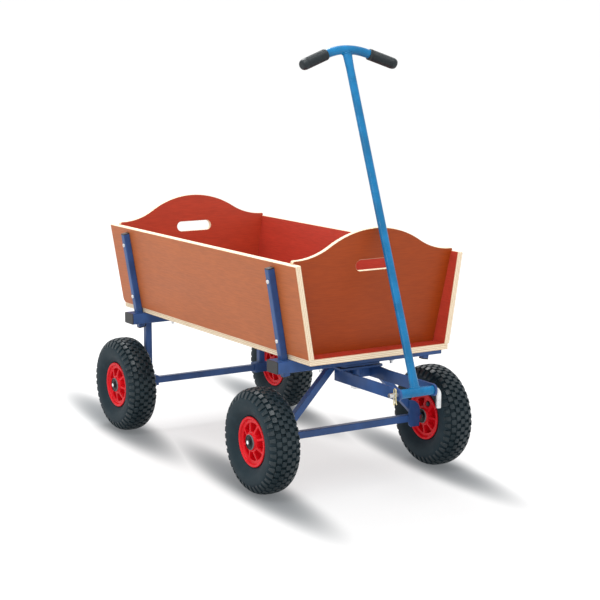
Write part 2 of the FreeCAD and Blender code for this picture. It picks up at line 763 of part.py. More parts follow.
def oval(centre, width, depth):
    """An oval wire across the handle, wide along Y."""
    if abs(width - depth) < 0.01:
        return Part.Wire(Part.Circle(centre, handle_up, width / 2).toShape())
    ellipse = Part.Ellipse(centre + V(0, width / 2, 0), centre + handle_front * (depth / 2), centre)
    return Part.Wire(ellipse.toShape())


def handle_tube():
    """A round tube whose two ends are pressed oval where they are welded on."""
    flat = handle_flat_length
    start = hinge + handle_up * (hinge_radius * 0.4)
    end = bar_middle - handle_up * (bar_radius * 0.4)
    low, high = hinge + handle_up * flat, bar_middle - handle_up * flat
    wide, deep, round_size = handle_flat_width, handle_flat_depth, 2 * handle_radius
    tube = rod(low, high, handle_radius)
    foot = Part.makeLoft([oval(start, wide, deep), oval(low, round_size, round_size)], True, True)
    neck = Part.makeLoft([oval(high, round_size, round_size), oval(end, wide, deep)], True, True)
    bore = rod(low, high, handle_radius - handle_wall)
    tube = tube.fuse([foot, neck]).cut(bore)
    half = fork_inner_half
    tube = tube.cut(rod(hinge - V(0, half, 0), hinge + V(0, half, 0), hinge_radius))
    return tube.cut(bent_rod(bar_radius, bar_half))


def bent_rod(radius, half):
    """A round rod along the handlebar's centre line, this far each side of the middle."""
    bend = bar_bend_half
    path = Part.Wire([Part.makeLine(bar_point(-half), bar_point(-bend)),
                      arc(bar_point(-bend), bar_point(0), bar_point(bend)),
                      Part.makeLine(bar_point(bend), bar_point(half))])
    profile = Part.Wire(Part.Circle(bar_point(-half), bar_point(-bend) - bar_point(-half),
                                    radius).toShape())
    return path.makePipeShell([profile], True, False)


def handlebar():
    return bent_rod(bar_radius, bar_half).cut(bent_rod(bar_radius - bar_wall, bar_half + 1))


def grip():
    """The left grip: a sleeve with a closed, rounded outer end."""
    start, end = bar_point(grip_start), bar_point(grip_end)
    along = end - start
    body = rod(start, end, grip_radius)
    body = body.makeFillet(6.0, [e for e in body.Edges if isinstance(e.Curve, Part.Circle) and
                                 (e.Curve.Center - end).Length < 1])
    step = along * (1 / along.Length)
    return body.cut(rod(start - step, bar_point(bar_half) + step * seat_gap, bar_radius + seat_gap))


def hitch_pin():
    """A zinc pin through the fork: straight on the right, bent down on the left."""
    y_bend = fork_inner_half + fork_thickness + 1.0
    start = V(x_hitch, -pin_end, hitch_height)
    straight = V(x_hitch, y_bend, hitch_height)
    turn = pin_bend * math.sqrt(0.5)
    corner = V(x_hitch, y_bend + turn, hitch_height - pin_bend + turn)
    down = V(x_hitch, y_bend + pin_bend, hitch_height - pin_bend)
    foot = V(x_hitch, y_bend + pin_bend, hitch_height - pin_leg)
    path = Part.Wire([Part.makeLine(start, straight), arc(straight, corner, down),
                      Part.makeLine(down, foot)])
    profile = Part.Wire(Part.Circle(start, V(0, 1, 0), pin_radius).toShape())
    pin = path.makePipeShell([profile], True, False)
    pin = pin.makeChamfer(1.0, [e for e in pin.Edges if isinstance(e.Curve, Part.Circle) and
                                (e.BoundBox.YMax < 0.5 - pin_end or e.BoundBox.ZMax < foot.z + 0.5)])
    hole = rod(V(x_hitch, -clip_side, 0), V(x_hitch, -clip_side, 2 * hitch_height), clip_wire + hole_gap)
    return pin.cut(hole)


def retaining_clip():
    """A spring clip: a straight leg through the pin, an eye on top and an outer leg beside the pin."""
    y = -clip_side
    reach = pin_radius + clip_wire + side_gap
    eye = reach / 2
    z_eye = hitch_height + pin_radius + 6.0
    tip = hitch_height - 24.0

    def at(x, z):
        return V(x_hitch + x, y, z)

    path = Part.Wire([
        Part.makeLine(at(0, tip), at(0, z_eye)),
        arc(at(0, z_eye), at(eye, z_eye + eye), at(reach, z_eye)),
        Part.makeLine(at(reach, z_eye), at(reach, tip + 10)),
        arc(at(reach, tip + 10), at(reach + 0.9, tip + 6.6), at(reach + 3.2, tip + 4))])
    profile = Part.Wire(Part.Circle(at(0, tip), V(0, 0, 1), clip_wire).toShape())
    return path.makePipeShell([profile], True, False)


# ---------------------------------------------------------------- write the nodes
left_side = side_panel()
save("floor_panel", floor_panel())
save("side_panel_left", left_side)
save("side_panel_right", mirrored(left_side))
save("front_panel", end_panel(front_inset, 1))
save("rear_panel", end_panel(rear_inset, -1))

save("front_cross_member", front_cross_member())
save("rear_cross_member", cross_member(x_rear))
save("cross_member_plugs", *(cross_plugs(x_rear) + cross_plugs(x_king)))
caps = []
screws = []
for place, x_post in (("front", x_king), ("rear", x_rear)):
    left_post = post(x_post)
    save("post_" + place + "_left", left_post)
    save("post_" + place + "_right", mirrored(left_post))
    for piece in post_caps(x_post):
        caps += both_sides(piece)
    for piece in side_screws(x_post):
        screws += both_sides(piece)
save("post_caps", *caps)
save("side_screws", *screws)
save("floor_screws", *floor_screw_blanks())
save("floor_bolts", *(floor_bolts(x_rear) + floor_bolts(x_king)))
save("floor_nuts", *(floor_nuts(x_rear) + floor_nuts(x_king)))

for name, piece in (("rear_axle_leg", rear_leg()), ("front_strut", strut()), ("fork_arm", fork_arm())):
    save(name + "_left", piece)
    save(name + "_right", mirrored(piece))
save("rear_axle_bosses", *both_sides(rear_boss()))
save("front_gussets", *both_sides(gusset()))
save("rear_axle_tube", axle_tube(x_rear, axle_tube_half - boss_length))
save("front_axle_tube", axle_tube(x_front, axle_tube_half))
for place, x_axle in (("rear", x_rear), ("front", x_front)):
    save(place + "_axle_shaft", axle_shaft(x_axle))
    save(place + "_axle_spacers", *axle_spacers(x_axle))
    save(place + "_axle_caps", *axle_caps(x_axle))

save("upper_turntable_plate", upper_plate_piece())
save("kingpin", kingpin())
save("kingpin_nut", king_nut())
save("lower_turntable_plate", lower_plate_piece())
save("turntable_disc", turn_disc_piece())
save("kingpin_sleeve", king_sleeve())
save("fork_plate", fork_plate())

save("drawbar_hinge_tube", hinge_tube())
save("drawbar_tube", handle_tube())
save("handlebar", handlebar())
left_grip = grip()
save("grip_left", left_grip)
save("grip_right", mirrored(left_grip))
save("hitch_pin", hitch_pin())
save("retaining_clip", retaining_clip())

wheel_blanks = (tyre(), rim(), hub_bush())
for place, x_axle in (("rear", x_rear), ("front", x_front)):
    save_wheel(place + "_left", x_axle, 1, *wheel_blanks)
    save_wheel(place + "_right", x_axle, -1, *wheel_blanks)
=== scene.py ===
# %% [markdown]
# # A garden wagon with a pull handle
# The wagon is a flared plywood box on a blue steel frame. Its front axle steers on a turntable,
# and a tall handle with a cross grip pulls it. This lesson loads the engineering model as a fixed
# frame and then gives each piece its finish. Pieces whose fine shape matters to the eye, such as
# the knobbly tyres, the ribbed rims and the rubber grips, are modelled again here on the sizes of
# the frame. Lengths are in metres throughout.

# %% Load the frame
import bpy
import bmesh
import json
import math
from mathutils import Matrix, Vector


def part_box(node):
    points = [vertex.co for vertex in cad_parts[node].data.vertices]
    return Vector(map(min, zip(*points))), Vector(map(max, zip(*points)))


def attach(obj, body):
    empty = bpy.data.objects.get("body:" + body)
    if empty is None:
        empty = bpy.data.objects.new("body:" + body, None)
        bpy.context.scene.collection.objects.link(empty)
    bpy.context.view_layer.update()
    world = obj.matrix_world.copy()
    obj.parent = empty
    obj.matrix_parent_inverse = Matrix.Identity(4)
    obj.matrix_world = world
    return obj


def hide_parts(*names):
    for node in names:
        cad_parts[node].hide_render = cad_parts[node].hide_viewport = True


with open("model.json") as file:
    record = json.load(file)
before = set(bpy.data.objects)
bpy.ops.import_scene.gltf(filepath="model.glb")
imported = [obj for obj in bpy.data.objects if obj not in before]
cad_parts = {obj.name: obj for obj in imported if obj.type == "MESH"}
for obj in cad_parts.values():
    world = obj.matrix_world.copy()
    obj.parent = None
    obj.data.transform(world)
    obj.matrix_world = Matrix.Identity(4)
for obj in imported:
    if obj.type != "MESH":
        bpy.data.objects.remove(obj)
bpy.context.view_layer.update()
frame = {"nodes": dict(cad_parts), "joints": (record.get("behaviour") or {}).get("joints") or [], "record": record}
nodes = frame["nodes"]
joints = {joint["name"]: joint for joint in frame["joints"]}

# %% [markdown]
# ## Camera
# A long lens, a little above the box and well to the front right, keeps the lines of the boards
# nearly parallel, so the proportions of the wagon read well.

# %% Camera
SENSOR_WIDTH = 36
FOCAL_LENGTH = 95.6
CAMERA_AT = (3.5125, -2.1524, 1.095)
CAMERA_VIEW = Vector((-0.8371, 0.5218, -0.1643))

camera_data = bpy.data.cameras.new("catalogue_lens")
camera_data.sensor_width = SENSOR_WIDTH
camera_data.lens = FOCAL_LENGTH
camera = bpy.data.objects.new("catalogue_camera", camera_data)
camera.location = CAMERA_AT
camera.rotation_euler = CAMERA_VIEW.to_track_quat("-Z", "Y").to_euler()
bpy.context.scene.collection.objects.link(camera)
bpy.context.scene.camera = camera
bpy.context.scene.view_settings.view_transform = "Standard"

# %% [markdown]
# ## Finishes as arithmetic
# A finish is a small network of shader nodes. Written as arithmetic it is far easier to read: a
# `Flow` wraps one socket, and adding, multiplying or comparing flows adds the matching nodes.
# `Finish` owns a material and makes every other kind of node with a single method.

# %% The two shader helpers
class Flow:
    """One output socket that can be used in a sum."""

    def __init__(self, finish, socket):
        self.finish = finish
        self.socket = socket

    def math(self, operation, *others, flip=False):
        terms = [self, *others]
        if flip:
            terms.reverse()
        return self.finish.add("ShaderNodeMath", {"operation": operation}, *terms)

    def __add__(self, other): return self.math("ADD", other)
    def __radd__(self, other): return self.math("ADD", other)
    def __sub__(self, other): return self.math("SUBTRACT", other)
    def __rsub__(self, other): return self.math("SUBTRACT", other, flip=True)
    def __mul__(self, other): return self.math("MULTIPLY", other)
    def __rmul__(self, other): return self.math("MULTIPLY", other)
    def __truediv__(self, other): return self.math("DIVIDE", other)
    def __rtruediv__(self, other): return self.math("DIVIDE", other, flip=True)
    def __pow__(self, other): return self.math("POWER", other)
    def __abs__(self): return self.math("ABSOLUTE")
    def __gt__(self, other): return self.math("GREATER_THAN", other)
    def __lt__(self, other): return self.math("LESS_THAN", other)
    def sine(self): return self.math("SINE")

    def ramp(self, low, high, to_low=0.0, to_high=1.0):
        """Goes smoothly from to_low to to_high while the value goes from low to high."""
        return self.finish.add("ShaderNodeMapRange", {"interpolation_type": "SMOOTHSTEP"},
                               self, low, high, to_low, to_high)


class Finish:
    """A material and the one way to add nodes to it."""

    def __init__(self, name, **constants):
        self.material = bpy.data.materials.new(name)
        self.material.use_nodes = True
        self.tree = self.material.node_tree
        self.shader = self.tree.nodes["Principled BSDF"]
        for socket, value in constants.items():
            self.shader.inputs[socket.replace("_", " ")].default_value = value
        self.place = self.add("ShaderNodeTexCoord", output="Object")
        self.facing = self.add("ShaderNodeTexCoord", output="Normal")

    def add(self, kind, settings=None, *values, output=0, **named):
        """Adds a node; values go to its sockets in order, named ones by name."""
        node = self.tree.nodes.new(kind)
        for key, setting in (settings or {}).items():
            setattr(node, key, setting)
        pairs = list(enumerate(values)) + [(k.replace("_", " "), v) for k, v in named.items()]
        for key, value in pairs:
            if isinstance(value, Flow):
                self.tree.links.new(value.socket, node.inputs[key])
            elif value is not None:
                node.inputs[key].default_value = value
        return Flow(self, node.outputs[output])

    def mix(self, first, second, factor):
        """Goes from the first colour to the second as the factor goes from 0 to 1."""
        node = self.tree.nodes.new("ShaderNodeMix")
        node.data_type = "RGBA"
        for index, value in ((0, factor), (6, first), (7, second)):
            if isinstance(value, Flow):
                self.tree.links.new(value.socket, node.inputs[index])
            else:
                node.inputs[index].default_value = value
        return Flow(self, node.outputs[2])

    def noise(self, scale, stretch=(1, 1, 1), detail=4.0):
        """Noise with about this many waves to a metre, stretched along the axes."""
        stretched = self.add("ShaderNodeVectorMath", {"operation": "MULTIPLY"},
                             self.place, stretch)
        return self.add("ShaderNodeTexNoise", None, Vector=stretched, Scale=scale, Detail=detail,
                        Roughness=0.55)

    def noise_at(self, x, y, z, rough, distortion=0.0):
        """Noise laid out on three flows or numbers of its own."""
        lie = self.add("ShaderNodeCombineXYZ", None, x, y, z)
        return self.add("ShaderNodeTexNoise", None, Vector=lie, Scale=1.0, Detail=4.0,
                        Roughness=rough, Distortion=distortion)

    def dot(self, vector, direction):
        """How far a vector reaches along a direction."""
        return self.add("ShaderNodeVectorMath", {"operation": "DOT_PRODUCT"}, vector, direction,
                        output="Value")

    def feed(self, socket, value):
        """Leads a flow into a socket of the shader."""
        self.tree.links.new(value.socket, self.shader.inputs[socket])

    def bump(self, height, depth):
        """Presses a height pattern of 0 to 1 into the surface; depth is in metres."""
        self.feed("Normal", self.add("ShaderNodeBump", None, Strength=1.0, Distance=depth,
                                     Height=height, output="Normal"))


def grey(value, tint=(1, 1, 1)):
    """A grey of this brightness, with its three channels pulled a little apart by a tint."""
    return (value * tint[0], value * tint[1], value * tint[2], 1.0)


def display(hex_code):
    """The linear colour of a hex code as it is seen on a screen."""
    channels = [int(hex_code[i:i + 2], 16) / 255 for i in (0, 2, 4)]
    linear = [c / 12.92 if c <= 0.04045 else ((c + 0.055) / 1.055) ** 2.4 for c in channels]
    return (*linear, 1.0)


def scaled(colour, factor):
    """A colour made darker or lighter, but no lighter than white."""
    return tuple(min(1.0, c * factor) for c in colour[:3]) + (1.0,)


def dress(name, material):
    """Gives one piece of the frame a single finish."""
    materials = nodes[name].data.materials
    materials.clear()
    materials.append(material)


# %% [markdown]
# ## Film-faced plywood
# Each board is birch plywood with a tinted film on its two faces. The faces show the fine long
# grain of the veneer through the film, and the sawn edges show the pale plies. A board is a flat
# slab, so its normal tells face from edge, and the distance through its thickness counts the plies.

# %% Plywood
PLIES = 7
FACE_COSINE = 0.93
SAWN_PALE, SAWN_TAN, GLUE = display("f3e7d1"), display("cdb08a"), display("a3805a")


def plywood(name, normal, anchor, along, thickness, outer, inner):
    """A board whose outer face looks along normal and passes through anchor."""
    finish = Finish(name, IOR=1.5, Specular_IOR_Level=0.24, Coat_Weight=0.05, Coat_Roughness=0.3)
    facing = finish.dot(finish.facing, normal)
    depth = (finish.dot(finish.place, normal) - Vector(normal).dot(anchor)) / -thickness
    along_grain = finish.dot(finish.place, along)
    across_grain = finish.dot(finish.place, Vector(normal).cross(Vector(along)))
    on_edge = abs(facing) < FACE_COSINE

    ripple = finish.noise_at(along_grain * 26.0, across_grain * 330.0, 0.0, 0.55, 0.35)
    streak = finish.noise_at(along_grain * 3.0, across_grain * 42.0, 3.0, 0.5, 0.5)
    cloud = finish.noise(3.2, detail=2.0)
    tone = (ripple.ramp(0.33, 0.67) * 0.5 + streak.ramp(0.3, 0.7) * 0.22
            + cloud.ramp(0.3, 0.7) * 0.28)
    faces = [finish.mix(scaled(colour, 0.84), scaled(colour, 1.16), tone)
             for colour in (outer, inner)]
    face = finish.mix(faces[1], faces[0], facing > 0.0)

    ply = (depth * (PLIES * math.pi)).sine()
    glue_line = abs(ply).ramp(0.0, 0.3)
    end_grain = finish.noise(900.0, detail=2.0)
    smear = finish.noise_at(along_grain * 14.0, across_grain * 14.0, depth * 9.0, 0.6)
    cross_ply = (ply > 0.0) * 0.55 + smear.ramp(0.35, 0.75) * 0.35 + end_grain * 0.15
    sawn = finish.mix(GLUE, finish.mix(SAWN_PALE, SAWN_TAN, cross_ply), glue_line)

    finish.feed("Base Color", finish.mix(face, sawn, on_edge))
    finish.feed("Roughness", 0.42 + 0.1 * streak + 0.2 * on_edge)
    finish.bump(ripple * (1 - on_edge) + (end_grain * 0.5 + glue_line * 0.5) * on_edge, 0.00012)
    return finish.material


# %% [markdown]
# ### The five boards
# The side boards flare by nine and a half degrees and the end boards lean out by five. Outside they
# have one brown film, given as a lighter orange copy on the sides and a darker brown copy on the
# ends: painted light and shade. Inside they are red, the rear board in a darker copy, and the floor
# has its red side up in a darker copy still: painted shade.

# %% Boards
FLARE, END_LEAN = math.radians(9.5), math.radians(5.0)
SIDE_THICK, END_THICK = 0.015, 0.012
SIDE_FOOT = 0.205
END_FOOT = 0.01196
# Painted light and shade: one brown film outside, lighter and oranger on the side boards and darker on the end
# boards; one red film inside, darker on the rear board and on the floor.
BROWN_FILM_LIT_COPY, BROWN_FILM_SHADED_COPY = display("ac5e31"), display("953b09")
RED, RED_FILM_SHADED_REAR, RED_FILM_SHADED_FLOOR = display("b03a2a"), display("a93922"), display("a43020")

for side, sign in (("left", 1), ("right", -1)):
    name = "side_panel_" + side
    foot = Vector((0, sign * SIDE_FOOT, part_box(name)[0][2]))
    normal = (0, sign * math.cos(FLARE), -math.sin(FLARE))
    dress(name, plywood("film_plywood_side_" + side, normal, foot, (1, 0, 0), SIDE_THICK,
                        BROWN_FILM_LIT_COPY, RED))
for name, sign, inside in (("front_panel", 1, RED), ("rear_panel", -1, RED_FILM_SHADED_REAR)):
    low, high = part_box(name)
    foot = Vector(((low[0] if sign > 0 else high[0]) + sign * END_FOOT, 0, low[2]))
    normal = (sign * math.cos(END_LEAN), 0, -math.sin(END_LEAN))
    dress(name, plywood("film_plywood_" + name, normal, foot, (0, 1, 0), END_THICK,
                        BROWN_FILM_SHADED_COPY, inside))
floor_top = Vector((0, 0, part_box("floor_panel")[1][2]))
dress("floor_panel", plywood("film_plywood_floor", (0, 0, 1), floor_top, (1, 0, 0), SIDE_THICK,
                             RED_FILM_SHADED_FLOOR, BROWN_FILM_SHADED_COPY))
print("boards finished:", [name for name in nodes if "_panel" in name])

# %% [markdown]
# ## Painted steel
# The frame tubes are powder coated in royal blue, the handle in a brighter blue. Powder coat has a
# faint orange-peel skin, slightly uneven gloss, and a slightly uneven tone.

# %% Painted steel
def powder_coat(name, colour, rough, gloss=0.35):
    """Paint baked on steel; gloss is the strength of the plain reflection."""
    finish = Finish(name, IOR=1.5, Specular_IOR_Level=gloss, Coat_Weight=0.12, Coat_Roughness=0.12)
    peel = finish.noise(650.0, detail=2.0)
    patch = finish.noise(18.0, detail=3.0)
    finish.feed("Base Color", finish.mix(scaled(colour, 0.8), scaled(colour, 1.15),
                                         patch.ramp(0.3, 0.7)))
    finish.feed("Roughness", rough + 0.1 * patch + 0.05 * peel)
    finish.bump(peel, 0.00006)
    return finish.material


frame_blue = powder_coat("royal_blue_powder_coat", display("274b81"), 0.36)
handle_blue = powder_coat("bright_blue_powder_coat", display("04689a"), 0.2, 0.25)

# %% [markdown]
# ## Zinc, rim plastic, rubber and black plastic
# Zinc plate is bright but never mirror clean, so its roughness wanders. The rims are moulded in
# glossy red plastic, the tyres are black rubber that dust turns slightly grey, the grips are black
# rubber, and the plugs and caps are matt black plastic.

# %% Small finishes
DUST = (0.3, 0.3, 0.28, 1)


def metal(name, colour, rough):
    """Zinc plate with a drawn grain."""
    finish = Finish(name, Metallic=1.0)
    swirl = finish.noise(420.0, stretch=(1, 3, 1), detail=3.0)
    patch = finish.noise(60.0)
    finish.feed("Base Color", finish.mix(scaled(colour, 0.75), colour, patch.ramp(0.3, 0.7)))
    finish.feed("Roughness", rough + 0.16 * swirl)
    finish.bump(swirl, 0.00004)
    return finish.material


def moulded(name, colour, rough, grain, depth, dust=0.0, gloss=0.5):
    """Plastic or rubber with a skin of fine grain, and a share of dust."""
    finish = Finish(name, IOR=1.5, Specular_IOR_Level=gloss)
    skin = finish.noise(grain, detail=3.0)
    patch = finish.noise(25.0)
    body = finish.mix(scaled(colour, 0.82), colour, patch.ramp(0.3, 0.7))
    if dust:
        body = finish.mix(body, DUST, patch.ramp(0.45, 0.8) * dust)
    finish.feed("Base Color", body)
    finish.feed("Roughness", rough + 0.12 * patch + 0.06 * skin)
    finish.bump(skin, depth)
    return finish.material


zinc = metal("zinc_plate", (0.78, 0.79, 0.80, 1), 0.22)
yellow_zinc = metal("yellow_zinc_plate", (0.80, 0.70, 0.40, 1), 0.28)
rim_red = moulded("red_rim_plastic", display("dc0f1e"), 0.3, 500.0, 0.00003, gloss=0.22)
black_plastic = moulded("black_moulded_plastic", display("1c1d20"), 0.4, 1400.0, 0.00005)
tyre_rubber = moulded("tyre_rubber", display("182a32"), 0.55, 1500.0, 0.00008, 0.03, 0.22)
tread_rubber = moulded("tread_rubber", display("0b2027"), 0.32, 1500.0, 0.00006, 0.03, 0.42)
grip_rubber = moulded("grip_rubber", display("0f1c21"), 0.4, 1200.0, 0.00005, gloss=0.4)
slot_finish = {"blue_frame": frame_blue, "blue_handle": handle_blue, "zinc": zinc,
               "yellow_zinc": yellow_zinc, "red_rim": rim_red, "tyre": tyre_rubber,
               "grip_rubber": grip_rubber, "black_plastic": black_plastic}
for part in frame["record"]["subparts"]:
    if part["material_slot"] in slot_finish:
        dress(part["node"], slot_finish[part["material_slot"]])
print("finishes:", len(bpy.data.materials))

# %% Mesh helpers
def mesh_from_rows(name, rows, close_rows=True, close_ring=True):
    """Quads between rows of points; each row is a ring when close_ring is true."""
    count = len(rows[0])
    points = [p for row in rows for p in row]
    faces = []
    for r in range(len(rows) if close_rows else len(rows) - 1):
        below = (r + 1) % len(rows)
        for k in range(count if close_ring else count - 1):
            after = (k + 1) % count
            faces.append((r * count + k, r * count + after,
                          below * count + after, below * count + k))
    mesh = bpy.data.meshes.new(name)
    mesh.from_pydata(points, [], faces)
    mesh.validate()
    mesh.shade_smooth()
    return mesh


def place(name, mesh, body, finish, location=(0, 0, 0), replaces=(), turn=0.0, swap=False):
    """Links a piece; turn spins a copy of its mesh about Y, and swap first faces it about."""
    if turn or swap:
        mesh = mesh.copy()
        mesh.transform(Matrix.Rotation(math.pi if swap else 0.0, 4, "Z"))
        mesh.transform(Matrix.Rotation(turn, 4, "Y"))
    piece = bpy.data.objects.new(name, mesh)
    bpy.context.scene.collection.objects.link(piece)
    piece.location = location
    if not mesh.materials:
        mesh.materials.append(finish)
    bpy.context.view_layer.update()
    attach(piece, body)
    if replaces:
        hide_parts(*replaces)
    return piece


def lathe(outline, steps):
    """Rows of points round the Y axis from (radius, width) pairs."""
    rows = []
    for k in range(steps):
        angle = 2 * math.pi * k / steps
        rows.append([(r * math.cos(angle), w, r * math.sin(angle)) for r, w in outline])
    return rows


# %% [markdown]
# ## Tyres
# A small pneumatic tyre has smooth side walls, and a crown covered with staggered square knobs
# that end in long lugs on the shoulders. Its outer section is a squarish oval, open at the rim. The
# parameter t runs along it, from -1 at one bead over 0 at the crown to 1 at the other bead.

# %% Tyre section
tyre_low, tyre_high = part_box("tyre_front_left")
rim_low, rim_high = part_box("rim_front_left")
TYRE_R = (tyre_high[2] - tyre_low[2]) / 2
TYRE_HALF = (tyre_high[1] - tyre_low[1]) / 2
RIM_R = (rim_high[2] - rim_low[2]) / 2
RIM_HALF = 0.031
SQUARENESS = 2.7
BEAD_TURN = 0.78 * math.pi
TREAD = 0.0056


def smooth_step(value):
    """Goes smoothly from 0 to 1 while the value does."""
    value = max(0.0, min(1.0, value))
    return value * value * (3 - 2 * value)


def section_point(t, sink=0.0):
    """The radius and width of a point of the section, sunk this far under full size."""
    low = RIM_R - 0.008
    middle, reach = (low + TYRE_R) / 2, (TYRE_R - low) / 2
    c, s = math.cos(BEAD_TURN * t), math.sin(BEAD_TURN * t)
    r = middle + (reach - sink) * math.copysign(abs(c) ** (2 / SQUARENESS), c)
    w = (TYRE_HALF - sink * 0.4) * math.copysign(abs(s) ** (2 / SQUARENESS), s)
    return r, w


def width_to_t(width):
    """The place between crown and side wall that is this far from the middle plane."""
    low, high = 0.0, math.pi / 2 / BEAD_TURN
    for _ in range(40):
        middle = (low + high) / 2
        if section_point(middle)[1] < width:
            low = middle
        else:
            high = middle
    return low


print("tyre radius", round(TYRE_R, 4), "half width", round(TYRE_HALF, 4))

# %% [markdown]
# ### Casing and knobs
# The casing is lathed. It lies one tread depth under full size at the crown, comes up to the full
# section at the shoulders, and falls in towards the rim, with two fine ridges on the way. Every
# knob is then laid on it with sloped sides, so light catches each one.

# %% Tyre mesh
LUGS = 40
KNOB_ROWS = ((0.0, 0.0), (0.0125, 0.5), (0.025, 0.0))
KNOB_WIDE, KNOB_LONG = 0.0051, 0.0062
LUG_FROM, LUG_TO, LUG_MORE = 0.0325, 0.505, 0.03
LUG_LONG = (0.0062, 0.0044)
SHOULDER_FROM, SHOULDER_SPAN = 0.575, 0.135
DISH_FROM, DISH_SPAN, DISH = 0.60, 0.28, 0.0064
RIDGES = ((0.79, 0.012), (0.86, 0.010))


def casing_outline():
    """The section of the casing, from under one lip of the rim to under the other."""
    outline = []
    for k in range(-40, 41):
        t = k / 40
        r, w = section_point(t, TREAD * smooth_step((SHOULDER_FROM - abs(t)) / SHOULDER_SPAN))
        out = sum(0.0005 * math.exp(-((abs(t) - at) / wide) ** 2) for at, wide in RIDGES)
        out -= 0.0004 + DISH * smooth_step((abs(t) - DISH_FROM) / DISH_SPAN)
        outline.append((r, w + math.copysign(1.0, w) * out))
    foot = RIM_R - 0.004
    return [(foot, -RIM_HALF + 0.003)] + outline + [(foot, RIM_HALF - 0.003)]


def on_tyre(t, angle, sink):
    """A point of the tyre at this angle about the axle."""
    r, w = section_point(t, sink)
    return Vector((r * math.cos(angle), w, r * math.sin(angle)))


def knob(bm, angle, t_low, t_high, half_low, half_high, cut=0.0):
    """A block between two places on the section; half_* are half its lengths round the tyre."""
    span = t_high - t_low
    steps = 3

    def outline(grow, sink):
        left, right = [], []
        for k in range(steps + 1):
            f = k / steps
            t = t_low - grow * 0.012 + (span + grow * 0.024) * f
            half = half_low + (half_high - half_low) * f + grow * 0.0009
            if cut and k in (0, steps):
                half -= cut
            left.append(on_tyre(t, angle - half / TYRE_R, sink))
            right.append(on_tyre(t, angle + half / TYRE_R, sink))
        return left + right[::-1]

    top, mid, foot = outline(0.0, 0.0), outline(0.45, 0.0007), outline(1.2, TREAD + 0.0008)
    verts = [[bm.verts.new(p) for p in ring] for ring in (top, mid, foot)]
    count = len(top)
    for k in range(steps):
        bm.faces.new((verts[0][k], verts[0][k + 1], verts[0][count - 2 - k],
                      verts[0][count - 1 - k])).material_index = 1
    for upper, lower in ((verts[0], verts[1]), (verts[1], verts[2])):
        for i in range(count):
            j = (i + 1) % count
            side = bm.faces.new((upper[j], upper[i], lower[i], lower[j]))
            side.material_index = 1 if upper is verts[0] else 0


def tyre_mesh():
    """Casing and knobs in one mesh; the tops of the knobs take the shinier rubber."""
    casing = mesh_from_rows("tyre_casing", lathe(casing_outline(), 160), close_ring=False)
    bm = bmesh.new()
    bm.from_mesh(casing)
    pitch = 2 * math.pi / LUGS
    for k in range(LUGS):
        for width, shift in KNOB_ROWS:
            for sign in ((1,) if width == 0 else (1, -1)):
                t0 = width_to_t(width - KNOB_WIDE) if width else -width_to_t(KNOB_WIDE)
                t1 = width_to_t(width + KNOB_WIDE)
                low, high = (t0, t1) if sign > 0 else (-t1, -t0)
                knob(bm, (k + shift) * pitch, low, high, KNOB_LONG, KNOB_LONG, cut=0.0004)
        t0, t1 = width_to_t(LUG_FROM), LUG_TO + (LUG_MORE if k % 2 else 0.0)
        knob(bm, (k + 0.5) * pitch, t0, t1, *LUG_LONG)
        knob(bm, (k + 0.5) * pitch, -t1, -t0, *reversed(LUG_LONG))
    bmesh.ops.recalc_face_normals(bm, faces=bm.faces)
    mesh = bpy.data.meshes.new("tyre_tread")
    bm.to_mesh(mesh)
    bm.free()
    mesh.shade_smooth()
    mesh.set_sharp_from_angle(angle=math.radians(38))
    mesh.materials.append(tyre_rubber)
    mesh.materials.append(tread_rubber)
    return mesh


WHEELS = ("front_left", "front_right", "rear_left", "rear_right")
centre = {w: (Vector(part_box("tyre_" + w)[0]) + Vector(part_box("tyre_" + w)[1])) / 2 for w in WHEELS}
tread = tyre_mesh()
for number, wheel in enumerate(WHEELS):
    place("treaded_tyre_" + wheel, tread, "wheel_" + wheel, tyre_rubber, centre[wheel],
          replaces=["tyre_" + wheel], turn=0.1 + 0.37 * number)
print("tyre faces:", len(tread.polygons))

# %% [markdown]
# ## Rims
# The rim is one red moulding: a rounded lip that holds the tyre, and a flat face between lip and
# hub with eight deep pockets, so that only ribs are left. A polar grid of points is pressed down
# inside the pockets, which gives crisp ribs with soft mouldings. On the inboard face one pocket is
# filled but for a round hole, which takes the valve.

# %% Rim mesh
POCKETS = 8
POCKET_DEEP, POCKET_SLOPE = 0.0155, 0.0016
RIB_HALF = 0.0026
POCKET_FROM, POCKET_TO = 0.0250, 0.0462
VALVE_R, VALVE_HOLE = 0.0358, 0.0085
FACE_R, FACE_SPAN, FACE_ROWS = 0.0500, 0.0290, 40
FACE_LEVEL, FACE_RISE = 0.0243, 0.0045
HUB_SEAT = ((0.0192, 0.0318), (0.0186, 0.0330), (0.0140, 0.0330))
RIM_STEPS = 384


def pocket_depth(r, angle, valve_side):
    """How far the face is pressed in at a place, from 0 on a rib to 1 in a pocket."""
    sector = 2 * math.pi / POCKETS
    off = (angle % (2 * math.pi)) - sector / 2
    if valve_side and abs(off) < sector / 2:
        away = math.hypot(r * math.cos(off) - VALVE_R, r * math.sin(off))
        return 1.1 * smooth_step((VALVE_HOLE - away) / 0.0012)
    side = (sector / 2 - abs((angle % sector) - sector / 2)) * r
    gap = min(side - RIB_HALF, r - POCKET_FROM, POCKET_TO - r)
    return smooth_step(gap / POCKET_SLOPE)


